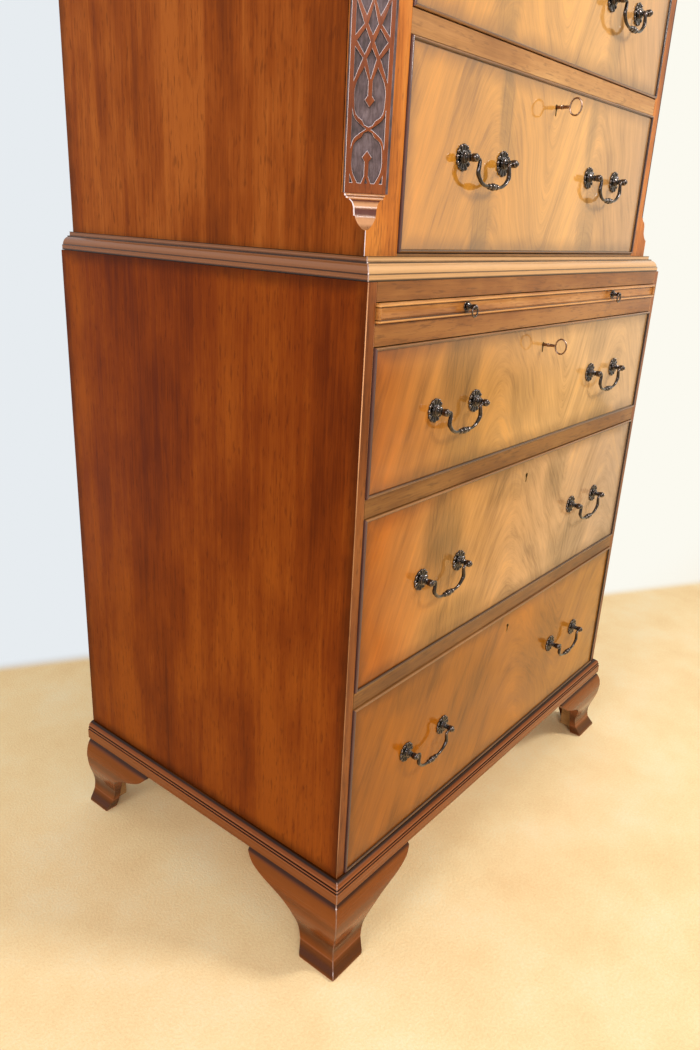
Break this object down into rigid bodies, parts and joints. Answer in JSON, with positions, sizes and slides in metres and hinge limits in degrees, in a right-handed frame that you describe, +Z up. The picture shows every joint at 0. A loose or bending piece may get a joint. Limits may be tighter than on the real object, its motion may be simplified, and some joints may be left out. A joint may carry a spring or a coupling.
{
  "type": "chest on chest",
  "caption": "Chest on chest: a canted upper case of graduated drawers stands on a wider lower case with a pull-out slide, drawers and ogee bracket feet.",
  "frame": {"origin": "middle of the footprint at floor level", "axes": "+Z up, -Y out of the drawer fronts, +X to the right seen from the front"},
  "size_m": [0.856, 0.5674, 1.7786],
  "materials": {
    "side_mahogany": "polished",
    "rail_mahogany": "polished",
    "flame_veneer": "polished",
    "fret_mahogany": "polished",
    "drawer_lining": "plain",
    "back_board": "plain",
    "dark_bronze": "dark bronzed",
    "key_steel": "worn"
  },
  "bodies": {
    "lower_case": {"foot_front_left": "side_mahogany", "foot_front_right": "side_mahogany", "foot_back_left": "side_mahogany", "foot_back_right": "side_mahogany", "base_frame": "rail_mahogany", "lower_side_left": "side_mahogany", "lower_side_right": "side_mahogany", "lower_back": "back_board", "lower_top_board": "rail_mahogany", "lower_divider_1": "rail_mahogany", "lower_divider_2": "rail_mahogany", "lower_divider_3": "rail_mahogany", "waist_moulding": "rail_mahogany"},
    "upper_case": {"upper_side_left": "side_mahogany", "upper_side_right": "side_mahogany", "corner_post_left": "fret_mahogany", "corner_post_right": "fret_mahogany", "upper_back": "back_board", "upper_bottom_board": "rail_mahogany", "upper_divider_1": "rail_mahogany", "upper_divider_2": "rail_mahogany", "upper_divider_3": "rail_mahogany", "cornice": "rail_mahogany"},
    "lower_drawer_1": {"lower_drawer_1_front": "flame_veneer", "lower_drawer_1_box": "drawer_lining"},
    "lower_drawer_1_bail_left": {"lower_drawer_1_bail_left": "dark_bronze"},
    "lower_drawer_1_bail_right": {"lower_drawer_1_bail_right": "dark_bronze"},
    "lower_drawer_1_key": {"lower_drawer_1_key": "key_steel"},
    "lower_drawer_1_lock_bolt": {"lower_drawer_1_lock_bolt": "key_steel"},
    "lower_drawer_2": {"lower_drawer_2_front": "flame_veneer", "lower_drawer_2_box": "drawer_lining"},
    "lower_drawer_2_bail_left": {"lower_drawer_2_bail_left": "dark_bronze"},
    "lower_drawer_2_bail_right": {"lower_drawer_2_bail_right": "dark_bronze"},
    "lower_drawer_3": {"lower_drawer_3_front": "flame_veneer", "lower_drawer_3_box": "drawer_lining"},
    "lower_drawer_3_bail_left": {"lower_drawer_3_bail_left": "dark_bronze"},
    "lower_drawer_3_bail_right": {"lower_drawer_3_bail_right": "dark_bronze"},
    "upper_drawer_2": {"upper_drawer_2_front": "flame_veneer", "upper_drawer_2_box": "drawer_lining"},
    "upper_drawer_2_bail_left": {"upper_drawer_2_bail_left": "dark_bronze"},
    "upper_drawer_2_bail_right": {"upper_drawer_2_bail_right": "dark_bronze"},
    "upper_drawer_3": {"upper_drawer_3_front": "flame_veneer", "upper_drawer_3_box": "drawer_lining"},
    "upper_drawer_3_bail_left": {"upper_drawer_3_bail_left": "dark_bronze"},
    "upper_drawer_3_bail_right": {"upper_drawer_3_bail_right": "dark_bronze"},
    "upper_drawer_4": {"upper_drawer_4_front": "flame_veneer", "upper_drawer_4_box": "drawer_lining"},
    "upper_drawer_4_bail_left": {"upper_drawer_4_bail_left": "dark_bronze"},
    "upper_drawer_4_bail_right": {"upper_drawer_4_bail_right": "dark_bronze"},
    "upper_drawer_4_key": {"upper_drawer_4_key": "key_steel"},
    "upper_drawer_4_lock_bolt": {"upper_drawer_4_lock_bolt": "key_steel"},
    "short_drawer_left": {"short_drawer_left_front": "flame_veneer", "short_drawer_left_box": "drawer_lining"},
    "short_drawer_left_bail": {"short_drawer_left_bail": "dark_bronze"},
    "short_drawer_right": {"short_drawer_right_front": "flame_veneer", "short_drawer_right_box": "drawer_lining"},
    "short_drawer_right_bail": {"short_drawer_right_bail": "dark_bronze"},
    "slide": {"brushing_slide": "rail_mahogany"},
    "slide_ring_left": {"slide_ring_left": "dark_bronze"},
    "slide_ring_right": {"slide_ring_right": "dark_bronze"}
  },
  "joints": [
    {"name": "upper_case_lift", "type": "slide", "parent": "lower_case", "child": "upper_case", "axis": [0, 0, 1], "range_m": [0, 0.1]},
    {"name": "lower_drawer_1_pull", "type": "slide", "parent": "lower_case", "child": "lower_drawer_1", "axis": [0, -1, 0], "range_m": [0, 0.38]},
    {"name": "lower_drawer_1_bail_left_swing", "type": "hinge", "parent": "lower_drawer_1", "child": "lower_drawer_1_bail_left", "pos_m": [-0.216, -0.26425, 0.75275], "axis": [-1, 0, 0], "range_deg": [-24, 100]},
    {"name": "lower_drawer_1_bail_right_swing", "type": "hinge", "parent": "lower_drawer_1", "child": "lower_drawer_1_bail_right", "pos_m": [0.216, -0.26425, 0.75275], "axis": [-1, 0, 0], "range_deg": [-24, 100]},
    {"name": "lower_drawer_1_key_turn", "type": "hinge", "parent": "lower_drawer_1", "child": "lower_drawer_1_key", "pos_m": [0, -0.24825, 0.809], "axis": [0, 1, 0], "range_deg": [0, 90]},
    {"name": "lower_drawer_1_lock_bolt_throw", "type": "slide", "parent": "lower_drawer_1", "child": "lower_drawer_1_lock_bolt", "axis": [0, 0, 1], "range_m": [0, 0.006]},
    {"name": "lower_drawer_2_pull", "type": "slide", "parent": "lower_case", "child": "lower_drawer_2", "axis": [0, -1, 0], "range_m": [0, 0.38]},
    {"name": "lower_drawer_2_bail_left_swing", "type": "hinge", "parent": "lower_drawer_2", "child": "lower_drawer_2_bail_left", "pos_m": [-0.216, -0.26425, 0.536], "axis": [-1, 0, 0], "range_deg": [-24, 100]},
    {"name": "lower_drawer_2_bail_right_swing", "type": "hinge", "parent": "lower_drawer_2", "child": "lower_drawer_2_bail_right", "pos_m": [0.216, -0.26425, 0.536], "axis": [-1, 0, 0], "range_deg": [-24, 100]},
    {"name": "lower_drawer_3_pull", "type": "slide", "parent": "lower_case", "child": "lower_drawer_3", "axis": [0, -1, 0], "range_m": [0, 0.38]},
    {"name": "lower_drawer_3_bail_left_swing", "type": "hinge", "parent": "lower_drawer_3", "child": "lower_drawer_3_bail_left", "pos_m": [-0.216, -0.26425, 0.278], "axis": [-1, 0, 0], "range_deg": [-24, 100]},
    {"name": "lower_drawer_3_bail_right_swing", "type": "hinge", "parent": "lower_drawer_3", "child": "lower_drawer_3_bail_right", "pos_m": [0.216, -0.26425, 0.278], "axis": [-1, 0, 0], "range_deg": [-24, 100]},
    {"name": "upper_drawer_2_pull", "type": "slide", "parent": "upper_case", "child": "upper_drawer_2", "axis": [0, -1, 0], "range_m": [0, 0.36]},
    {"name": "upper_drawer_2_bail_left_swing", "type": "hinge", "parent": "upper_drawer_2", "child": "upper_drawer_2_bail_left", "pos_m": [-0.1665, -0.24125, 1.4468], "axis": [-1, 0, 0], "range_deg": [-24, 100]},
    {"name": "upper_drawer_2_bail_right_swing", "type": "hinge", "parent": "upper_drawer_2", "child": "upper_drawer_2_bail_right", "pos_m": [0.1665, -0.24125, 1.4468], "axis": [-1, 0, 0], "range_deg": [-24, 100]},
    {"name": "upper_drawer_3_pull", "type": "slide", "parent": "upper_case", "child": "upper_drawer_3", "axis": [0, -1, 0], "range_m": [0, 0.36]},
    {"name": "upper_drawer_3_bail_left_swing", "type": "hinge", "parent": "upper_drawer_3", "child": "upper_drawer_3_bail_left", "pos_m": [-0.1665, -0.24125, 1.2468], "axis": [-1, 0, 0], "range_deg": [-24, 100]},
    {"name": "upper_drawer_3_bail_right_swing", "type": "hinge", "parent": "upper_drawer_3", "child": "upper_drawer_3_bail_right", "pos_m": [0.1665, -0.24125, 1.2468], "axis": [-1, 0, 0], "range_deg": [-24, 100]},
    {"name": "upper_drawer_4_pull", "type": "slide", "parent": "upper_case", "child": "upper_drawer_4", "axis": [0, -1, 0], "range_m": [0, 0.36]},
    {"name": "upper_drawer_4_bail_left_swing", "type": "hinge", "parent": "upper_drawer_4", "child": "upper_drawer_4_bail_left", "pos_m": [-0.1665, -0.24125, 1.0288], "axis": [-1, 0, 0], "range_deg": [-24, 100]},
    {"name": "upper_drawer_4_bail_right_swing", "type": "hinge", "parent": "upper_drawer_4", "child": "upper_drawer_4_bail_right", "pos_m": [0.1665, -0.24125, 1.0288], "axis": [-1, 0, 0], "range_deg": [-24, 100]},
    {"name": "upper_drawer_4_key_turn", "type": "hinge", "parent": "upper_drawer_4", "child": "upper_drawer_4_key", "pos_m": [0, -0.22525, 1.1043], "axis": [0, 1, 0], "range_deg": [0, 90]},
    {"name": "upper_drawer_4_lock_bolt_throw", "type": "slide", "parent": "upper_drawer_4", "child": "upper_drawer_4_lock_bolt", "axis": [0, 0, 1], "range_m": [0, 0.006]},
    {"name": "short_drawer_left_pull", "type": "slide", "parent": "upper_case", "child": "short_drawer_left", "axis": [0, -1, 0], "range_m": [0, 0.36]},
    {"name": "short_drawer_left_bail_swing", "type": "hinge", "parent": "short_drawer_left", "child": "short_drawer_left_bail", "pos_m": [-0.16775, -0.24125, 1.6268], "axis": [-1, 0, 0], "range_deg": [-24, 100]},
    {"name": "short_drawer_right_pull", "type": "slide", "parent": "upper_case", "child": "short_drawer_right", "axis": [0, -1, 0], "range_m": [0, 0.36]},
    {"name": "short_drawer_right_bail_swing", "type": "hinge", "parent": "short_drawer_right", "child": "short_drawer_right_bail", "pos_m": [0.16775, -0.24125, 1.6268], "axis": [-1, 0, 0], "range_deg": [-24, 100]},
    {"name": "brushing_slide_pull", "type": "slide", "parent": "lower_case", "child": "slide", "axis": [0, -1, 0], "range_m": [0, 0.25]},
    {"name": "slide_ring_left_swing", "type": "hinge", "parent": "slide", "child": "slide_ring_left", "pos_m": [-0.212, -0.26075, 0.8695], "axis": [-1, 0, 0], "range_deg": [-25, 100]},
    {"name": "slide_ring_right_swing", "type": "hinge", "parent": "slide", "child": "slide_ring_right", "pos_m": [0.212, -0.26075, 0.8695], "axis": [-1, 0, 0], "range_deg": [-25, 100]}
  ],
  "couplings": [
    {"joint": "lower_drawer_1_key_turn", "follows": "lower_drawer_1_lock_bolt_throw", "rad_per_m": 261.79},
    {"joint": "upper_drawer_4_key_turn", "follows": "upper_drawer_4_lock_bolt_throw", "rad_per_m": 261.79}
  ]
}
